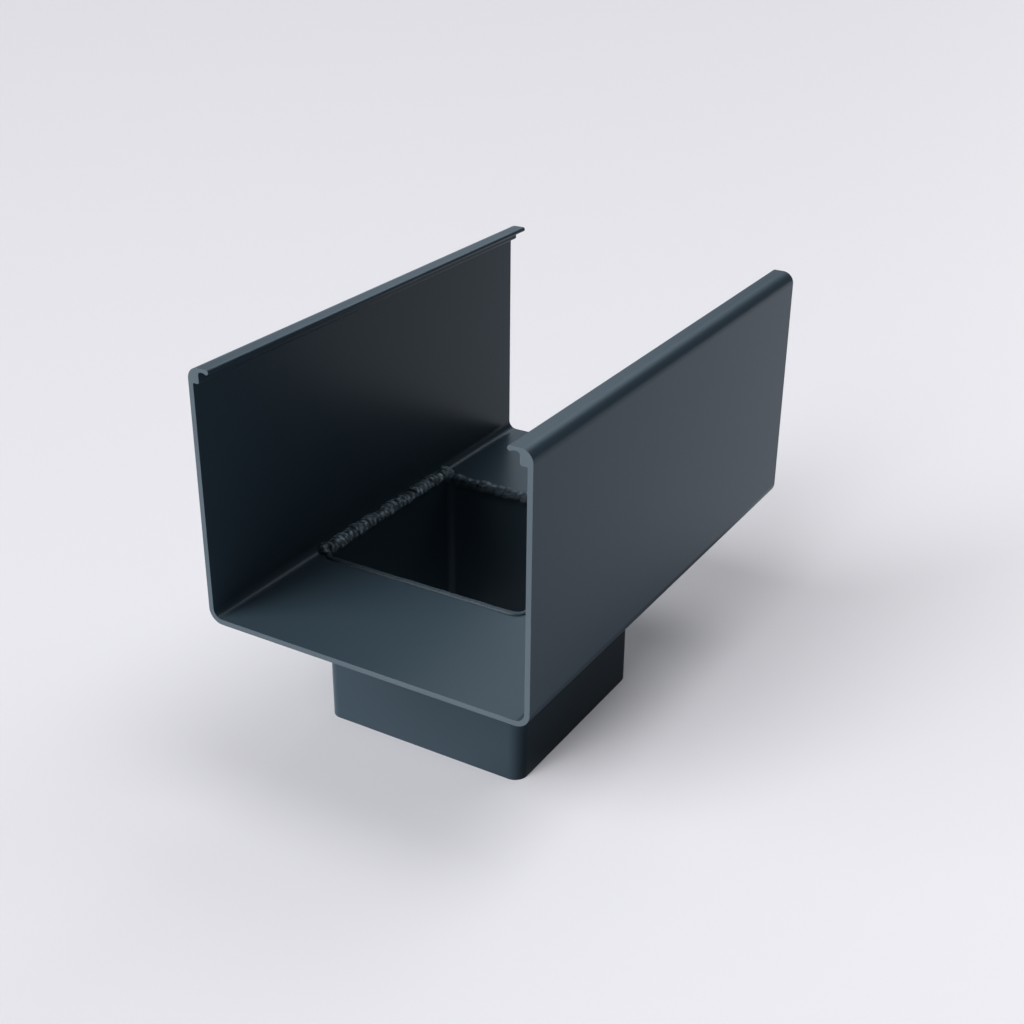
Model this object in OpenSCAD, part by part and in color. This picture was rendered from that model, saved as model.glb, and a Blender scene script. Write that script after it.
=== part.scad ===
// Box gutter outlet: a short length of extruded aluminium box gutter, open at the top and
// at both ends, with a square downpipe spigot welded through its floor. The spigot stands
// close to one side wall. Both rims have a flat top with a rounded outer corner, a thin lip
// with a full-round edge, a shallow groove under the lip for a clip, and a thick rib.
// Axes: X across the channel, Y along it, Z up. The origin is under the channel's centre,
// at the level of the spigot's lower end. All sizes are in millimetres.

/* [Channel] */
// Outside width of the channel
gutter_w = 100; // [90:1:160]
// Outside height of the channel, from the floor's underside to the rim's flat top
gutter_h = 73.5; // [50:0.5:120]
// Length of the channel
gutter_l = 155; // [130:1:600]
// Thickness of the side walls and the floor
wall_t = 1.5; // [1.2:0.1:2]
// Outside radius of the two bends between floor and walls
bend_r = 4.2; // [3:0.1:4.3]

/* [Rims] */
// Radius of the rounded outer corner
crown_r = 3.4; // [1:0.1:3.9]
// Thickness of the rib
rib_t = 3.5; // [3:0.1:4]
// Depth of the rib's lower edge below the rim's flat top
rib_drop = 4.35; // [4:0.05:8]
// Rounding of the rib's lower edge
rib_edge_r = 0.6; // [0.3:0.1:0.9]
// Fillet between the rib's lower edge and the wall
rib_fillet_r = 0.3; // [0.2:0.1:0.6]
// Thickness of the lip above the groove
lip_t = 1.05; // [0.9:0.05:1.3]
// How far the lip reaches inwards from the channel's outer face
lip_reach = 6.8; // [6.3:0.1:8]
// Radius of the lip's full-round edge
lip_edge_r = 0.7; // [0.6:0.05:0.85]
// Radius of the hollow between the lip's underside and its round edge
lip_blend_r = 1.2; // [0.8:0.1:2]
// Radius of the groove's corner against the rib
groove_r = 0.8; // [0.4:0.1:1.2]

/* [Spigot] */
// Outside width of the square spigot
spigot_w = 68; // [50:1:75]
// Wall thickness of the spigot
spigot_wall = 1.6; // [1.2:0.1:2.5]
// Outside radius of the spigot's corners
spigot_corner_r = 4; // [3:0.5:8]
// How far the spigot reaches below the floor
spigot_drop = 53; // [30:1:150]
// Distance from the channel's outer side face to the spigot's face on that side
spigot_set_in = 4.5; // [4.4:0.1:12]
// Distance from the channel's front end to the spigot's front face
spigot_from_end = 43.1; // [20:0.1:55]
// Clearance between the spigot and the cut-out in the floor, all round
spigot_gap = 0.2; // [0.1:0.05:0.3]

/* [Weld] */
// Width of the narrow bead that runs all round
root_w = 2; // [1.9:0.1:3.2]
// Height of the narrow bead
root_h = 0.7; // [0.4:0.1:1]
// Width of the heavy beads laid over it on the left and on the right
cap_w = 5; // [4:0.1:5.5]
// Width of the heavy bead laid over it at the rear
rear_w = 6; // [5:0.1:7]
// Height of the heavy beads
cap_h = 1.2; // [0.8:0.1:1.8]
// How far the two side beads reach over the opening
cap_over = 0.6; // [0:0.1:1.2]
// How far the rear bead reaches over the opening
rear_over = 3; // [0:0.1:3.4]
// How far behind the spigot's front face the axis of the left-hand bead starts
left_start = 4.4; // [3:0.2:30]
// How far behind the spigot's front face the axis of the right-hand bead starts
right_start = 9; // [5:0.5:30]
// Distance between the ripples of the heavy beads
ripple_pitch = 3.2; // [2.4:0.1:4]
// Depth of the grooves between the ripples
ripple_h = 0.25; // [0.1:0.05:0.5]
// Share of its radius by which a ripple may be smaller than the bead
ripple_change = 0.1; // [0:0.02:0.16]

/* [Hidden] */
$fn = 96;

coat = "#4b535b";
weld_coat = "#565e66";

// Overshoot of a cut past the face that it opens
cut = 1;

// Levels and places
floor_under = spigot_drop;
floor_top = floor_under + wall_t;
half_w = gutter_w / 2;
half_l = gutter_l / 2;
half_spigot = spigot_w / 2;
spigot_x = -half_w + spigot_set_in + half_spigot;
spigot_y = -half_l + spigot_from_end + half_spigot;

// Places in the rim's section, with the channel's outer face at x = 0, x growing inwards
// and the rim's flat top at y = 0: the centre of the groove's hollow against the rib, that
// of the lip's round edge, that of the hollow beside it, and where those two arcs touch
groove_x = rib_t + groove_r;
groove_y = -lip_t - groove_r;
edge_x = lip_reach - lip_edge_r;
blend_y = -lip_t - lip_blend_r;
blend_x = edge_x - sqrt(pow(lip_blend_r + lip_edge_r, 2) - pow(-lip_edge_r - blend_y, 2));
touch_x = blend_x + (edge_x - blend_x) * lip_blend_r / (lip_blend_r + lip_edge_r);

// Angle step that makes the ripples' sizes uneven, and the share of the pitch that the
// ripple itself takes, with the groove in the rest
ripple_turn = 137;
ripple_share = 0.75;

// Half of the square path that the narrow bead follows, and its corner radius
root_half = half_spigot - spigot_wall + root_w / 2;
root_corner_r = spigot_corner_r - spigot_wall + root_w / 2;

// Radius of a bead's round section from its width and height
function bead_r(w, h) = (w * w / 4 + h * h) / (2 * h);

// Height of the bend's inner face above the floor, at a distance past the floor's edge
function bend_rise(past) =
    let (r = bend_r - wall_t, k = min(max(past, 0), r))
    r - sqrt(r * r - k * k);

// A square with rounded corners, centred
module rounded_square(w, r) {
    square([w, w - 2 * r], center = true);
    square([w - 2 * r, w], center = true);
    for (x = [-1, 1], y = [-1, 1])
        translate([x * (w / 2 - r), y * (w / 2 - r)])
            circle(r);
}

// Rib at the top of the wall, with a rounded lower edge and a fillet to the wall
module rib_section() {
    translate([0, -rib_drop + rib_edge_r])
        square([rib_t, rib_drop - rib_edge_r]);
    translate([0, -rib_drop])
        square([rib_t - rib_edge_r, rib_edge_r]);
    translate([rib_t - rib_edge_r, -rib_drop + rib_edge_r])
        circle(rib_edge_r);
    difference() {
        translate([wall_t, -rib_drop - rib_fillet_r])
            square(rib_fillet_r);
        translate([wall_t + rib_fillet_r, -rib_drop - rib_fillet_r])
            circle(rib_fillet_r);
    }
}

// Open space of the groove under the lip: a small hollow against the rib, a larger one
// against the lip's round edge, and the flat stretch between them
module groove_section() {
    translate([groove_x, groove_y])
        circle(groove_r);
    translate([blend_x, blend_y])
        circle(lip_blend_r);
    translate([groove_x, blend_y])
        square([blend_x - groove_x, lip_blend_r]);
}

// Flat lip with a full-round edge thicker than the lip itself
module lip_section() {
    difference() {
        union() {
            translate([0, groove_y])
                square([touch_x, -groove_y]);
            translate([0, -lip_t])
                square([edge_x, lip_t]);
            translate([edge_x, -lip_edge_r])
                circle(lip_edge_r);
        }
        groove_section();
    }
}

// Rib and lip, with the outer corner rounded
module rim_section() {
    difference() {
        union() {
            rib_section();
            lip_section();
        }
        difference() {
            translate([-cut, -crown_r])
                square(crown_r + cut);
            translate([crown_r, -crown_r])
                circle(crown_r);
        }
    }
}

// Right half of the channel's section, with y up from the floor's underside
module half_section() {
    square([half_w - bend_r, wall_t]);
    intersection() {
        translate([half_w - bend_r, bend_r])
            difference() {
                circle(bend_r);
                circle(bend_r - wall_t);
            }
        translate([half_w - bend_r, 0])
            square(bend_r);
    }
    translate([half_w - wall_t, bend_r])
        square([wall_t, gutter_h - bend_r - crown_r]);
    translate([half_w, gutter_h])
        mirror([1, 0])
            rim_section();
}

// Section of the space inside the channel, up to the given height above the bends
module trough_section(height) {
    translate([-half_w + bend_r, wall_t])
        square([gutter_w - 2 * bend_r, height]);
    translate([-half_w + wall_t, bend_r])
        square([gutter_w - 2 * wall_t, height]);
    for (side = [-1, 1])
        translate([side * (half_w - bend_r), bend_r])
            circle(bend_r - wall_t);
}

// Runs a section, drawn with y up from the floor's underside, along the whole channel
module along_channel() {
    translate([0, 0, floor_under])
        rotate([90, 0, 0])
            linear_extrude(gutter_l, center = true)
                children();
}

// Extruded channel with the cut-out for the spigot in its floor
module gutter_channel() {
    color(coat)
        difference() {
            along_channel() {
                half_section();
                mirror([1, 0])
                    half_section();
            }
            translate([spigot_x, spigot_y, floor_under - cut])
                linear_extrude(wall_t + 2 * cut)
                    rounded_square(spigot_w + 2 * spigot_gap, spigot_corner_r + spigot_gap);
        }
}

// Square tube with rounded corners, level with the floor's top face
module outlet_spigot() {
    color(coat)
        translate([spigot_x, spigot_y, 0])
            difference() {
                linear_extrude(floor_top)
                    rounded_square(spigot_w, spigot_corner_r);
                translate([0, 0, -cut])
                    linear_extrude(floor_top + 2 * cut)
                        rounded_square(spigot_w - 2 * spigot_wall, spigot_corner_r - spigot_wall);
            }
}

// Straight bead with ripples and round ends, starting at the origin and running along +Y.
// It looks like a row of coins, uneven in size and with a narrow groove after each.
// weld_bead() cuts off what would lie inside the metal.
module bead_run(length, r) {
    ripples = round(length / ripple_pitch);
    step = length / ripples;
    crests = [for (i = [0:ripples - 1]) r * (1 - ripple_change * (1 + cos(i * ripple_turn)) / 2)];
    rotate([-90, 0, 0])
        rotate_extrude()
            polygon([[0, 0],
                     for (i = [0:ripples - 1])
                         each [[crests[i], i * step],
                               [crests[i], (i + ripple_share) * step],
                               [crests[i] - ripple_h, (i + ripple_share) * step],
                               [crests[i] - ripple_h, (i + 1) * step]],
                     [0, length]]);
    for (y = [0, length])
        translate([0, y, 0])
            sphere(r);
}

// Narrow bead all round the joint between spigot and floor
module root_bead() {
    r = bead_r(root_w, root_h);
    side = 2 * (root_half - root_corner_r);
    translate([spigot_x, spigot_y, floor_top + root_h - r])
        for (turn = [0, 90, 180, 270])
            rotate([0, 0, turn]) {
                translate([root_half, -side / 2, 0])
                    rotate([-90, 0, 0])
                        cylinder(side, r, r);
                translate([side / 2, side / 2, 0])
                    rotate_extrude(angle = 90)
                        translate([root_corner_r, 0])
                            circle(r);
            }
}

// Heavy bead beside the near side wall, which climbs the bend where it reaches it
module left_cap() {
    reach = cap_w - spigot_wall - cap_over;
    rise = bend_rise(reach - spigot_set_in + bend_r);
    tilt = atan2(rise, cap_w);
    chord = cap_w / cos(tilt);
    r = bead_r(chord, cap_h);
    sink = r - cap_h;
    inner_x = -half_w + spigot_set_in + spigot_wall + cap_over;
    start_y = spigot_y - half_spigot + left_start;
    translate([inner_x - cap_w / 2 - sink * sin(tilt),
               start_y,
               floor_top + rise / 2 - sink * cos(tilt)])
        bead_run(spigot_y + root_half - start_y, r);
}

module rear_cap() {
    r = bead_r(rear_w, cap_h);
    inner_y = spigot_y + half_spigot - spigot_wall - rear_over;
    translate([spigot_x - root_half, inner_y + rear_w / 2, floor_top + cap_h - r])
        rotate([0, 0, -90])
            bead_run(2 * root_half, r);
}

module right_cap() {
    r = bead_r(cap_w, cap_h);
    inner_x = spigot_x + half_spigot - spigot_wall - cap_over;
    translate([inner_x + cap_w / 2,
               spigot_y - half_spigot + right_start,
               floor_top + cap_h - r])
        bead_run(spigot_w - right_start, r);
}

// Weld between spigot and floor, seen from inside the channel. Only what lies above the
// metal is kept.
module weld_bead() {
    color(weld_coat)
        intersection() {
            union() {
                root_bead();
                left_cap();
                rear_cap();
                right_cap();
            }
            along_channel()
                trough_section(cap_w);
        }
}

gutter_channel();
outlet_spigot();
weld_bead();
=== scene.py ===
import math

import bmesh
import bpy
from mathutils import Matrix, Vector, noise


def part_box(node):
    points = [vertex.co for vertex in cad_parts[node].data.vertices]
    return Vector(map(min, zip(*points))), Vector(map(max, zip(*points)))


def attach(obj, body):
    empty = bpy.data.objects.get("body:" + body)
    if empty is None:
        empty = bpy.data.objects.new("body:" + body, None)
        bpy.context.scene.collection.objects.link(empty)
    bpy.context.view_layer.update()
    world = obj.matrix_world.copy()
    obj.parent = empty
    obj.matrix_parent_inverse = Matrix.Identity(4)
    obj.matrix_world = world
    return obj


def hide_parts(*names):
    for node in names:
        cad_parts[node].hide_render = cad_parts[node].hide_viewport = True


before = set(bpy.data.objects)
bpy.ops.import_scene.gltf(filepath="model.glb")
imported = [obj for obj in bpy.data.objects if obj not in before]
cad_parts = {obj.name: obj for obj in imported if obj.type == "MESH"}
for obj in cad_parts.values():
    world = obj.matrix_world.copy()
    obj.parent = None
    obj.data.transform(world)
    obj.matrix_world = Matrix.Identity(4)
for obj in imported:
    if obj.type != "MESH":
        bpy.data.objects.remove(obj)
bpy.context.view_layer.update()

# Lengths are in metres, as millimetres times MM, and angles are in degrees until they are used
MM = 0.001
RIGHT_ANGLE = 90

# View of the photograph: a lens a little longer than normal, above and to the right
LENS_MM = 52.89
SENSOR_MM = 36.0
CAMERA_PLACE = Vector((0.1996, -0.3394, 0.2596))
CAMERA_AZIMUTH = 30.62
CAMERA_ELEVATION = 26.14
CAMERA_ROLL = 0.50
CAMERA_NEAREST = 10 * MM
CAMERA_FARTHEST = 50.0

# Pale studio floor, as the camera sees it
FLOOR_HALF = 6.0
FLOOR_COLOUR = (0.785, 0.782, 0.825, 1.0)
FLOOR_ROUGHNESS = 0.45
FLOOR_SPECULAR = 0.30

# What the outlet gets back from the floor: an even cool glow, painted light standing in for the floor's
# bounce, less of it inside the tube as painted shade, and hardly any in a painted shadow beside the spigot,
# which is half as wide along X as along Y
FLOOR_GLOW = 0.95
GLOW_COLOUR = (0.700, 0.765, 0.860, 1.0)
SHADED_BORE_GLOW = 0.35
SHADOW_COLOUR = (0.04, 0.04, 0.045, 1.0)
SHADOW_PLACE = Vector((46, 46, 0)) * MM
SHADOW_SHAPE = Vector((1.0, 0.5, 1.0))
SHADOW_REACH = 36 * MM
GLOW_REACH = 64 * MM

# Soft lights: azimuth from the front towards the right, elevation, breadth, strength, colour.
# The outlet and the floor each have their own, so that the floor's shadow stays small.
WHITE_LIGHT = (1.0, 1.0, 1.0)
COOL_LIGHT = (0.74, 0.88, 1.0)
OUTLET_LIGHTS = {
    "key_front_left": (-35, 46, 40, 2.3, WHITE_LIGHT),
    "low_front_left": (-35, 16, 50, 2.4, WHITE_LIGHT),
    "left_low": (-138, 14, 32, 0.12, COOL_LIGHT),
    "back_high": (-178, 50, 36, 0.95, COOL_LIGHT),
    "back_left": (-153, 40, 34, 0.56, COOL_LIGHT),
}
FLOOR_LIGHTS = {
    "floor_front": (-5, 35, 40, 2.8, WHITE_LIGHT),
    "floor_right": (100, 72, 32, 0.7, WHITE_LIGHT),
    "floor_low": (-35, 16, 50, 1.3, WHITE_LIGHT),
    "floor_back": (165, 32, 50, 0.8, WHITE_LIGHT),
}
NO_LIGHT = (0.0, 0.0, 0.0, 1.0)

# Light from all around, and the pale backdrop that only the camera sees
WORLD_COLOUR = (0.94, 0.96, 1.0, 1.0)
WORLD_STRENGTH = 0.13
BACKDROP_STRENGTH = 0.80

# Anthracite powder coat, by the inputs of its node group: clouds in the colour, orange peel, grain
POWDER_COAT = {
    "Dark Colour": (0.0300, 0.0470, 0.0610, 1.0),
    "Light Colour": (0.0330, 0.0510, 0.0660, 1.0),
    "Smooth Roughness": 0.30,
    "Rough Roughness": 0.34,
    "Cloud Size": 32 * MM,
    "Peel Size": 1.3 * MM,
    "Grain Size": 0.26 * MM,
}
# The sawn ends: the same coat, rougher, and paler as painted light on these faces
LIT_SAWN_END = {
    **POWDER_COAT,
    "Dark Colour": (0.070, 0.092, 0.108, 1.0),
    "Light Colour": (0.092, 0.118, 0.138, 1.0),
    "Smooth Roughness": 0.46,
    "Rough Roughness": 0.58,
}
COAT_SPECULAR = 0.13
COAT_BUMP = 0.0010 * MM
END_DEPTH = 0.05 * MM

# The same coat over the weld, lighter on its crests as a painted highlight and darker in its grooves as
# painted shade
WELD_HIGHLIT_CREST = {
    "Dark Colour": (0.0150, 0.0280, 0.0370, 1.0),
    "Light Colour": (0.1150, 0.1650, 0.1900, 1.0),
    "Smooth Roughness": 0.26,
    "Rough Roughness": 0.40,
    "Cloud Size": 1.0 * MM,
    "Peel Size": 0.8 * MM,
    "Grain Size": 0.4 * MM,
}
WELD_SHADED_GROOVE = {
    **WELD_HIGHLIT_CREST,
    "Light Colour": POWDER_COAT["Dark Colour"],
    "Smooth Roughness": 0.50,
    "Rough Roughness": 0.62,
}
WELD_SPECULAR = 0.30
WELD_BUMP = 0.02 * MM

# Painted glints on the crests: their size, and the noise at which they start and are full
GLINT_COLOUR = (0.3800, 0.4700, 0.5000, 1.0)
GLINT_SIZE = 1.2 * MM
GLINT_START = 0.30
GLINT_FULL = 0.90

# Noise in the coat: octaves, the stretch that is spread over 0 to 1, and how its layers are mixed
CLOUD_DETAIL = 3
PEEL_DETAIL = 2
GRAIN_DETAIL = 1
GLINT_DETAIL = 1
NOISE_LOW = 0.3
NOISE_HIGH = 0.7
TONE_SHARE = 0.5
PEEL_SHARE = 0.6

# Arrises rounded in the shading alone
EDGE_ROUND = 0.25 * MM
EDGE_SAMPLES = 4

# Sockets of the Mix node: its share and the two things that it mixes, and its result
COLOUR_SOCKETS = (0, 6, 7)
COLOUR_RESULT = 2
VALUE_SOCKETS = (0, 2, 3)
VALUE_RESULT = 0

# Sizes of the construction that the beads follow: tube, bend of the channel, widths of the beads
TUBE_WALL = 1.6 * MM
TUBE_CORNER = 2.4 * MM
CHANNEL_WALL = 1.5 * MM
BEND_RADIUS = 4.2 * MM
HEAVY_WIDTH = 5.0 * MM
REAR_WIDTH = 6.0 * MM
FINE_WIDTH = 2.0 * MM
SIDE_OVERHANG = 0.6 * MM
LEFT_START = 4.4 * MM
RIGHT_START = 9 * MM

# Weld: fineness of its mesh and smoothing of the solid's steps
WELD_VOXEL = 0.22 * MM
MERGE_DISTANCE = 0.001 * MM
SMOOTHING_PASSES = 8
SMOOTHING_SHARE = 0.5

# Ripples of the side beads, lower ones at the rear, and finer ones in the narrow bead at the front
HEAVY_PITCH = 2.3 * MM
HEAVY_RIPPLE = 0.20 * MM
REAR_RIPPLE = 0.12 * MM
FINE_PITCH = 1.9 * MM
FINE_RIPPLE = 0.05 * MM
RIPPLE_BOW = 0.9
RIPPLE_LEVEL = 0.25
PITCH_DRIFT = 0.5
DRIFT_SIZE = 9 * MM

# Lumps and fine roughness over the ripples
LUMP_SIZE = 5.5 * MM
LUMP_HEIGHT = 0.60 * MM
PEBBLE_SIZE = 1.1 * MM
PEBBLE_HEIGHT = 0.10 * MM
PIT_SIZE = 0.5 * MM
PIT_HEIGHT = 0.06 * MM

# How much of a crest's mark, which places the painted highlight, is its ripple, and how much is all that is
# raised there
CREST_FROM_RIPPLE = 0.7
CREST_FROM_RAISED = 0.3

# Height over the metal at which ripples reach their full depth, and how far the toes sink
TOE_HEIGHT = 0.5 * MM
TOE_SINK = 0.12 * MM

# Sag of the beads over the opening: at the full overhang, and of the underside by the wall
FULL_OVERHANG = 3.0 * MM
NOSE_DROP = 1.0 * MM
REAR_BELLY = 1.3 * MM
SIDE_BELLY = 0.4 * MM
SAG_POWER = 1.3

# Crater where the welder stopped, at the near end of the left-hand bead
CRATER_PLACE = Vector((-45.2, -31.2)) * MM
CRATER_RADIUS = 1.5 * MM
CRATER_DEPTH = 0.85 * MM
CRATER_RIM = 0.22 * MM
CRATER_RIM_WIDTH = 0.45 * MM

# Places of the channel and the tube, from their meshes
channel_low, channel_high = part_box("gutter_channel")
tube_low, tube_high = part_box("outlet_spigot")
tube_middle = (Vector(tube_low) + Vector(tube_high)) / 2
bore_half = (tube_high[0] - tube_low[0]) / 2 - TUBE_WALL
floor_top = tube_high[2]


# Mesh tools

def make_object(name, mesh_data):
    piece = bpy.data.objects.new(name, mesh_data)
    bpy.context.scene.collection.objects.link(piece)
    return piece


def mesh_from(name, shape):
    mesh_data = bpy.data.meshes.new(name)
    shape.to_mesh(mesh_data)
    shape.free()
    return mesh_data


def merged_copy(node):
    shape = bmesh.new()
    shape.from_mesh(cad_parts[node].data)
    bmesh.ops.remove_doubles(shape, verts=shape.verts, dist=MERGE_DISTANCE)
    return shape


def remeshed(name, shape, voxel):
    rough = make_object(name, mesh_from(name, shape))
    remesher = rough.modifiers.new("remesh", "REMESH")
    remesher.mode = "VOXEL"
    remesher.voxel_size = voxel
    evaluated = rough.evaluated_get(bpy.context.evaluated_depsgraph_get())
    fine = bmesh.new()
    fine.from_mesh(evaluated.to_mesh())
    bpy.data.objects.remove(rough)
    return fine


# Material tools

def new_material(name):
    material = bpy.data.materials.new(name)
    material.use_nodes = True
    return material, material.node_tree, material.node_tree.nodes["Principled BSDF"]


def add_node(tree, kind, **settings):
    node = tree.nodes.new(kind)
    for setting, value in settings.items():
        setattr(node, setting, value)
    return node


def object_position(tree):
    return add_node(tree, "ShaderNodeTexCoord").outputs["Object"]


def math_node(tree, operation, first, second):
    node = add_node(tree, "ShaderNodeMath", operation=operation)
    for socket, value in zip(node.inputs, (first, second)):
        if isinstance(value, (int, float)):
            socket.default_value = value
        else:
            tree.links.new(value, socket)
    return node.outputs["Value"]


def vector_node(tree, operation, vector, fixed):
    node = add_node(tree, "ShaderNodeVectorMath", operation=operation)
    node.inputs[1].default_value = fixed
    tree.links.new(vector, node.inputs[0])
    return node.outputs["Vector"]


def ramp_node(tree, value, low, high, **settings):
    """0 where the value is low or less, and 1 where it is high or more."""
    node = add_node(tree, "ShaderNodeMapRange", **settings)
    node.inputs["From Min"].default_value = low
    node.inputs["From Max"].default_value = high
    tree.links.new(value, node.inputs["Value"])
    return node.outputs["Result"]


def split_node(tree, vector):
    node = add_node(tree, "ShaderNodeSeparateXYZ")
    tree.links.new(vector, node.inputs["Vector"])
    return node.outputs


def colour_node(tree, colour):
    output = add_node(tree, "ShaderNodeRGB").outputs["Color"]
    output.default_value = colour
    return output


def mix_colour(tree, share, first, second):
    node = add_node(tree, "ShaderNodeMix", data_type="RGBA")
    for socket, value in zip(COLOUR_SOCKETS, (share, first, second)):
        tree.links.new(value, node.inputs[socket])
    return node.outputs[COLOUR_RESULT]


def mix_value(tree, share, first, second):
    node = add_node(tree, "ShaderNodeMix", data_type="FLOAT")
    for socket, value in zip(VALUE_SOCKETS, (share, first, second)):
        tree.links.new(value, node.inputs[socket])
    return node.outputs[VALUE_RESULT]


# Camera, floor, world and lights

def turn(degrees, axis):
    return Matrix.Rotation(math.radians(degrees), 4, axis)


def make_camera():
    data = bpy.data.cameras.new("camera")
    data.sensor_width = SENSOR_MM
    data.lens = LENS_MM
    data.clip_start = CAMERA_NEAREST
    data.clip_end = CAMERA_FARTHEST
    camera = bpy.data.objects.new("camera", data)
    bpy.context.scene.collection.objects.link(camera)
    facing = turn(CAMERA_AZIMUTH, "Z") @ turn(RIGHT_ANGLE - CAMERA_ELEVATION, "X") @ turn(CAMERA_ROLL, "Z")
    camera.matrix_world = Matrix.Translation(CAMERA_PLACE) @ facing
    bpy.context.scene.camera = camera


def make_world():
    """An even dim world, which the camera sees as a pale backdrop."""
    world = bpy.data.worlds.new("studio")
    world.use_nodes = True
    tree = world.node_tree
    background = tree.nodes["Background"]
    background.inputs["Color"].default_value = WORLD_COLOUR
    seen = add_node(tree, "ShaderNodeLightPath").outputs["Is Camera Ray"]
    extra = math_node(tree, "MULTIPLY", seen, BACKDROP_STRENGTH - WORLD_STRENGTH)
    tree.links.new(math_node(tree, "ADD", extra, WORLD_STRENGTH), background.inputs["Strength"])
    bpy.context.scene.world = world
    bpy.context.scene.view_settings.view_transform = "Standard"


def glow_past_shaded_bore(tree, position):
    """1 on the floor around the spigot, and the bore's share of the glow on the floor inside it, as painted
    shade in the tube.
    """
    place = split_node(tree, vector_node(tree, "SUBTRACT", position, tube_middle))
    aside = math_node(tree, "ABSOLUTE", place["X"], 0.0)
    along = math_node(tree, "ABSOLUTE", place["Y"], 0.0)
    outside = math_node(tree, "GREATER_THAN", math_node(tree, "MAXIMUM", aside, along), bore_half)
    return math_node(tree, "MAXIMUM", outside, SHADED_BORE_GLOW)


def glow_past_painted_shadow(tree, position):
    """From 0 in the painted shadow beside the spigot to 1 away from it."""
    offset = vector_node(tree, "SUBTRACT", position, SHADOW_PLACE)
    away = add_node(tree, "ShaderNodeVectorMath", operation="LENGTH")
    tree.links.new(vector_node(tree, "MULTIPLY", offset, SHADOW_SHAPE), away.inputs[0])
    return ramp_node(tree, away.outputs["Value"], SHADOW_REACH, GLOW_REACH, interpolation_type="SMOOTHSTEP")


def floor_material():
    """Lit by its lights where the camera sees it, and for every other ray a painted glow of its own, with
    painted shade and shadow in it.
    """
    material, tree, shader = new_material("studio_floor")
    position = object_position(tree)
    # Painted shadow beside the spigot and painted shade inside the tube, taken out of the floor's painted
    # glow
    share = math_node(tree, "MULTIPLY", glow_past_painted_shadow(tree, position), glow_past_shaded_bore(tree, position))
    glow = mix_colour(tree, share, colour_node(tree, SHADOW_COLOUR), colour_node(tree, GLOW_COLOUR))
    none = colour_node(tree, NO_LIGHT)
    seen = add_node(tree, "ShaderNodeLightPath").outputs["Is Camera Ray"]
    pale = mix_colour(tree, seen, none, colour_node(tree, FLOOR_COLOUR))
    tree.links.new(pale, shader.inputs["Base Color"])
    tree.links.new(mix_colour(tree, seen, glow, none), shader.inputs["Emission Color"])
    shader.inputs["Emission Strength"].default_value = FLOOR_GLOW
    shader.inputs["Roughness"].default_value = FLOOR_ROUGHNESS
    shader.inputs["Specular IOR Level"].default_value = FLOOR_SPECULAR
    return material


def make_floor():
    shape = bmesh.new()
    bmesh.ops.create_grid(shape, x_segments=1, y_segments=1, size=FLOOR_HALF)
    floor = make_object("studio_floor", mesh_from("studio_floor", shape))
    floor.data.materials.append(floor_material())
    return floor


def make_soft_light(name, floor, on_floor, azimuth, elevation, breadth, strength, colour):
    """A broad far light that reaches the floor alone, or everything but the floor."""
    data = bpy.data.lights.new(name, "SUN")
    data.angle = math.radians(breadth)
    data.energy = strength
    data.color = colour
    light = bpy.data.objects.new(name, data)
    bpy.context.scene.collection.objects.link(light)
    light.matrix_world = turn(azimuth, "Z") @ turn(RIGHT_ANGLE - elevation, "X")
    reach = bpy.data.collections.new(name + "_reach")
    reach.objects.link(floor)
    reach.collection_objects[0].light_linking.link_state = "INCLUDE" if on_floor else "EXCLUDE"
    light.light_linking.receiver_collection = reach


# Powder coat: slow clouds in the colour, orange peel and fine grain in gloss and relief

def add_noise(tree, position, size, detail):
    texture = add_node(tree, "ShaderNodeTexNoise")
    texture.inputs["Detail"].default_value = detail
    tree.links.new(position, texture.inputs["Vector"])
    tree.links.new(math_node(tree, "DIVIDE", 1.0, size), texture.inputs["Scale"])
    return ramp_node(tree, texture.outputs["Fac"], NOISE_LOW, NOISE_HIGH)


def coat_finish_group():
    """The node group that every coated surface uses, with its own values in each material."""
    group = bpy.data.node_groups.new("coat_finish", "ShaderNodeTree")
    inputs = {
        "Position": "NodeSocketVector",
        "Dark Colour": "NodeSocketColor",
        "Light Colour": "NodeSocketColor",
        "Smooth Roughness": "NodeSocketFloat",
        "Rough Roughness": "NodeSocketFloat",
        "Cloud Size": "NodeSocketFloat",
        "Peel Size": "NodeSocketFloat",
        "Grain Size": "NodeSocketFloat",
    }
    outputs = {
        "Colour": "NodeSocketColor",
        "Roughness": "NodeSocketFloat",
        "Height": "NodeSocketFloat",
    }
    for name, kind in inputs.items():
        group.interface.new_socket(name, in_out="INPUT", socket_type=kind)
    for name, kind in outputs.items():
        group.interface.new_socket(name, in_out="OUTPUT", socket_type=kind)
    given = add_node(group, "NodeGroupInput").outputs
    result = add_node(group, "NodeGroupOutput").inputs
    clouds = add_noise(group, given["Position"], given["Cloud Size"], CLOUD_DETAIL)
    peel = add_noise(group, given["Position"], given["Peel Size"], PEEL_DETAIL)
    grain = add_noise(group, given["Position"], given["Grain Size"], GRAIN_DETAIL)
    tone = math_node(group, "MULTIPLY", math_node(group, "ADD", clouds, grain), TONE_SHARE)
    relief = math_node(group, "ADD", math_node(group, "MULTIPLY", peel, PEEL_SHARE),
                       math_node(group, "MULTIPLY", grain, 1 - PEEL_SHARE))
    colour = mix_colour(group, tone, given["Dark Colour"], given["Light Colour"])
    roughness = mix_value(group, relief, given["Smooth Roughness"], given["Rough Roughness"])
    group.links.new(colour, result["Colour"])
    group.links.new(roughness, result["Roughness"])
    group.links.new(relief, result["Height"])
    return group


def add_finish(tree, group, position, finish):
    node = add_node(tree, "ShaderNodeGroup", node_tree=group)
    tree.links.new(position, node.inputs["Position"])
    for name, value in finish.items():
        node.inputs[name].default_value = value
    return node.outputs


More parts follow.
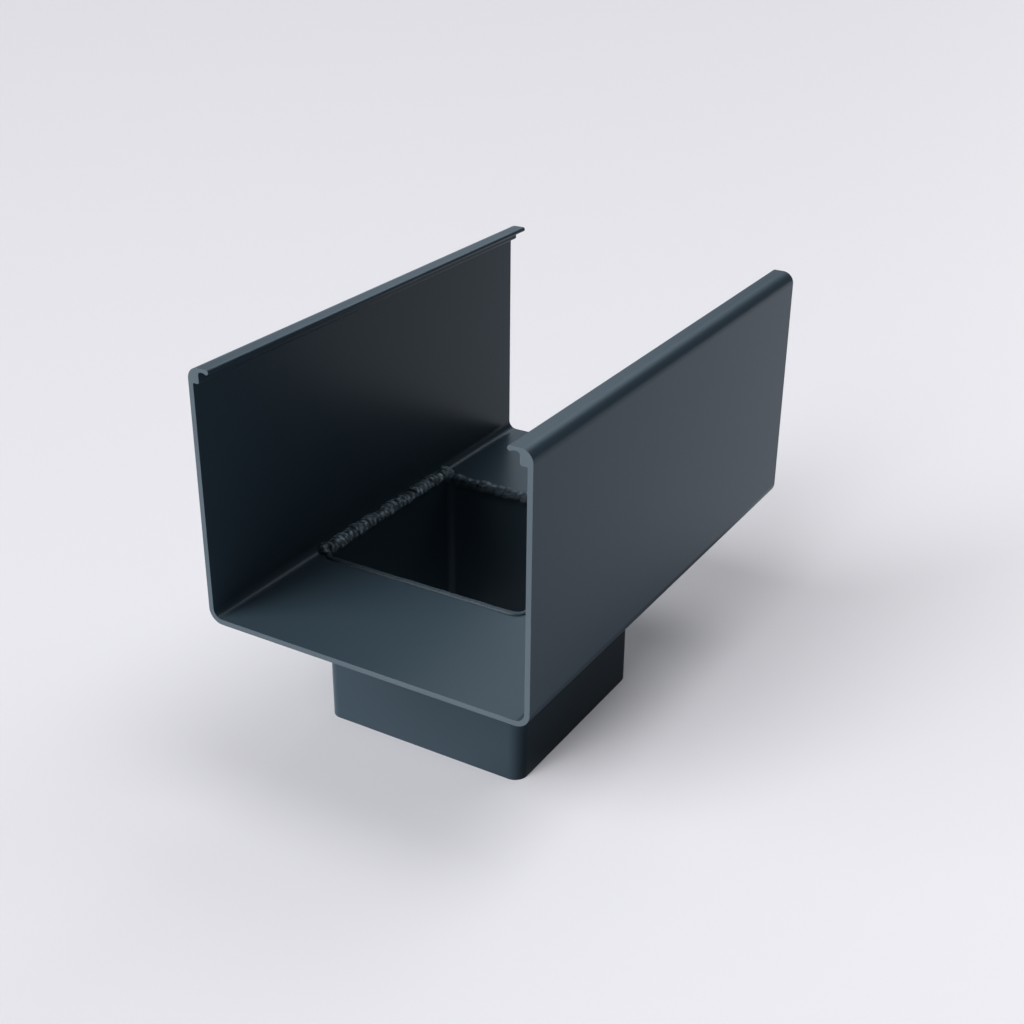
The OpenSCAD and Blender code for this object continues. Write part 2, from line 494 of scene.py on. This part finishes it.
def add_relief(tree, shader, height, distance):
    rounding = add_node(tree, "ShaderNodeBevel", samples=EDGE_SAMPLES)
    rounding.inputs["Radius"].default_value = EDGE_ROUND
    bump = add_node(tree, "ShaderNodeBump")
    bump.inputs["Distance"].default_value = distance
    tree.links.new(height, bump.inputs["Height"])
    tree.links.new(rounding.outputs["Normal"], bump.inputs["Normal"])
    tree.links.new(bump.outputs["Normal"], shader.inputs["Normal"])


def coat_material(name, group, axis, centre, reach):
    """Powder coat, with the two sawn ends, which lie at reach from centre along axis, paler as painted light.
    """
    material, tree, shader = new_material(name)
    position = object_position(tree)
    skin = add_finish(tree, group, position, POWDER_COAT)
    end = add_finish(tree, group, position, LIT_SAWN_END)
    place = split_node(tree, position)
    away = math_node(tree, "ABSOLUTE", math_node(tree, "SUBTRACT", place[axis], centre), 0.0)
    on_lit_end = math_node(tree, "GREATER_THAN", away, reach - END_DEPTH)
    # The paler colour of the sawn ends is painted light
    tree.links.new(mix_colour(tree, on_lit_end, skin["Colour"], end["Colour"]), shader.inputs["Base Color"])
    tree.links.new(mix_value(tree, on_lit_end, skin["Roughness"], end["Roughness"]), shader.inputs["Roughness"])
    shader.inputs["Specular IOR Level"].default_value = COAT_SPECULAR
    add_relief(tree, shader, skin["Height"], COAT_BUMP)
    return material


def weld_material(group):
    """The coat over the weld: dull and dark in the grooves as painted shade, glossier on the crests, which
    are lighter with a painted highlight and flecked with painted glints.
    """
    material, tree, shader = new_material("coated_weld")
    position = object_position(tree)
    skin = add_finish(tree, group, position, WELD_HIGHLIT_CREST)
    groove = add_finish(tree, group, position, WELD_SHADED_GROOVE)
    crest = add_node(tree, "ShaderNodeAttribute", attribute_name="crest").outputs["Fac"]
    # Pale painted glints on the highest crests
    glints = ramp_node(tree, add_noise(tree, position, GLINT_SIZE, GLINT_DETAIL), GLINT_START, GLINT_FULL)
    glinting = math_node(tree, "MULTIPLY", glints, math_node(tree, "MULTIPLY", crest, crest))
    # Crests lighter as a painted highlight, grooves darker as painted shade
    base = mix_colour(tree, crest, groove["Colour"], skin["Colour"])
    colour = mix_colour(tree, glinting, base, colour_node(tree, GLINT_COLOUR))
    tree.links.new(colour, shader.inputs["Base Color"])
    tree.links.new(mix_value(tree, crest, groove["Roughness"], skin["Roughness"]), shader.inputs["Roughness"])
    shader.inputs["Specular IOR Level"].default_value = WELD_SPECULAR
    add_relief(tree, shader, skin["Height"], WELD_BUMP)
    return material


def dress(node, material):
    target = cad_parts[node].data
    target.materials.clear()
    target.materials.append(material)


# Weld: the solid bead copied, merged and remeshed, then sagged, smoothed, rippled and pitted

class Bead:
    """A straight bead: which way it runs, where its axis lies, and how it ripples."""

    def __init__(self, along, axis, start, end, width, pitch, ripple):
        self.along = along
        self.axis = axis
        self.start = start
        self.end = end
        self.half_width = width / 2
        self.pitch = pitch
        self.ripple = ripple

    def place(self, point):
        """How far along the bead and how far beside its axis a point lies."""
        run = point[self.along]
        aside = point[1 - self.along] - self.axis
        return run, aside

    def distance(self, point):
        """Distance from the axis as a share of the bead's half width."""
        run, aside = self.place(point)
        past = max(self.start - run, run - self.end, 0.0)
        return math.hypot(aside, past) / self.half_width

    def scale_height(self, point):
        """Height of the ripple's scale, from 0 in the groove to 1 on the crest."""
        run, aside = self.place(point)
        drift = PITCH_DRIFT * noise.noise(point / DRIFT_SIZE)
        bow = RIPPLE_BOW * aside * aside / self.half_width
        phase = (run + bow) / self.pitch + drift
        across = 2 * (phase - math.floor(phase)) - 1
        return 1 - across * across


def make_beads():
    left_axis = tube_middle.x - bore_half + SIDE_OVERHANG - HEAVY_WIDTH / 2
    right_axis = tube_middle.x + bore_half - SIDE_OVERHANG + HEAVY_WIDTH / 2
    rear_axis = tube_middle.y + bore_half
    front_axis = tube_middle.y - bore_half - FINE_WIDTH / 2
    left, front = tube_low[0], tube_low[1]
    right, rear = tube_high[0], tube_high[1]
    return [
        Bead(1, left_axis, front + LEFT_START, rear, HEAVY_WIDTH, HEAVY_PITCH, HEAVY_RIPPLE),
        Bead(1, right_axis, front + RIGHT_START, rear, HEAVY_WIDTH, HEAVY_PITCH, HEAVY_RIPPLE),
        Bead(0, rear_axis, left, right, REAR_WIDTH, HEAVY_PITCH, REAR_RIPPLE),
        Bead(0, front_axis, left, right, FINE_WIDTH, FINE_PITCH, FINE_RIPPLE),
    ]


def metal_level(x):
    """Height of the metal under the weld: the floor, and the left-hand bend where that rises."""
    inner = BEND_RADIUS - CHANNEL_WALL
    past = min(max(channel_low[0] + BEND_RADIUS - x, 0.0), inner)
    return floor_top + inner - math.sqrt(inner * inner - past * past)


def depth_over_opening(point):
    """How far inside the tube's bore a point lies, less than 0 outside it."""
    reach_x = abs(point.x - tube_middle.x) - bore_half + TUBE_CORNER
    reach_y = abs(point.y - tube_middle.y) - bore_half + TUBE_CORNER
    outside = math.hypot(max(reach_x, 0.0), max(reach_y, 0.0))
    return TUBE_CORNER - outside - min(max(reach_x, reach_y), 0.0)


def ease(value):
    share = min(max(value, 0.0), 1.0)
    return share * share * (3 - 2 * share)


def sag_over_opening(shape):
    """The nose of each bead droops over the opening, and its underside hangs as a belly."""
    for vert in shape.verts:
        depth = depth_over_opening(vert.co)
        if depth <= 0.0:
            continue
        nose = NOSE_DROP * (depth / FULL_OVERHANG) ** SAG_POWER
        at_rear = ease((vert.co.y - tube_middle.y - bore_half + 2 * FULL_OVERHANG) / FULL_OVERHANG)
        belly = SIDE_BELLY + (REAR_BELLY - SIDE_BELLY) * at_rear
        under = max(-vert.normal.z, 0.0)
        vert.co.z -= nose + max(belly - nose, 0.0) * under


def crater(point):
    away = (point.xy - CRATER_PLACE).length
    hollow = max(1 - (away / CRATER_RADIUS) ** 2, 0.0)
    rim = math.exp(-((away - CRATER_RADIUS) / CRATER_RIM_WIDTH) ** 2)
    return CRATER_RIM * rim - CRATER_DEPTH * hollow * hollow


def ripple_weld(shape):
    """Moves each point by the ripples, lumps and pits of its nearest bead, and marks the crests for the
    painted highlight.
    """
    beads = make_beads()
    crest_layer = shape.verts.layers.float.new("crest")
    shape.normal_update()
    moves = []
    for vert in shape.verts:
        point = vert.co
        above = point.z - metal_level(point.x)
        clear = ease(above / TOE_HEIGHT)
        bead = min(beads, key=lambda one: one.distance(point))
        scale = bead.scale_height(point)
        share = bead.ripple / HEAVY_RIPPLE
        lump = noise.noise(point / LUMP_SIZE) * LUMP_HEIGHT * share
        pebble = noise.noise(point / PEBBLE_SIZE) * PEBBLE_HEIGHT * share
        pit = noise.noise(point / PIT_SIZE) * PIT_HEIGHT
        raised = bead.ripple * (scale - RIPPLE_LEVEL) + lump + pebble + pit
        mark = scale * CREST_FROM_RIPPLE + raised / HEAVY_RIPPLE * CREST_FROM_RAISED
        # The crest mark places the weld's painted highlight, weaker on the rear bead
        vert[crest_layer] = min(max(mark, 0.0), 1.0) * clear * share * share
        sunk = TOE_SINK * (1 - clear) if depth_over_opening(point) < 0.0 else 0.0
        moves.append(vert.normal * raised * clear + Vector((0, 0, crater(point) * clear - sunk)))
    for vert, move in zip(shape.verts, moves):
        vert.co += move


def make_weld():
    shape = remeshed("weld_blank", merged_copy("weld_bead"), WELD_VOXEL)
    shape.normal_update()
    sag_over_opening(shape)
    for step in range(SMOOTHING_PASSES):
        bmesh.ops.smooth_vert(shape, verts=shape.verts, factor=SMOOTHING_SHARE, use_axis_x=True,
                              use_axis_y=True, use_axis_z=True)
    ripple_weld(shape)
    for face in shape.faces:
        face.smooth = True
    piece = make_object("rippled_weld", mesh_from("rippled_weld", shape))
    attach(piece, "root")
    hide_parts("weld_bead")
    return piece


make_camera()
make_world()
studio_floor = make_floor()
for light_name, values in OUTLET_LIGHTS.items():
    make_soft_light(light_name, studio_floor, False, *values)
for light_name, values in FLOOR_LIGHTS.items():
    make_soft_light(light_name, studio_floor, True, *values)

finish_group = coat_finish_group()
half_length = (channel_high[1] - channel_low[1]) / 2
channel_middle = (channel_high[1] + channel_low[1]) / 2
half_drop = (tube_high[2] - tube_low[2]) / 2
dress("gutter_channel", coat_material("channel_coat", finish_group, "Y", channel_middle, half_length))
dress("outlet_spigot", coat_material("spigot_coat", finish_group, "Z", tube_middle.z, half_drop))
weld_coat = weld_material(finish_group)
dress("weld_bead", weld_coat)
make_weld().data.materials.append(weld_coat)
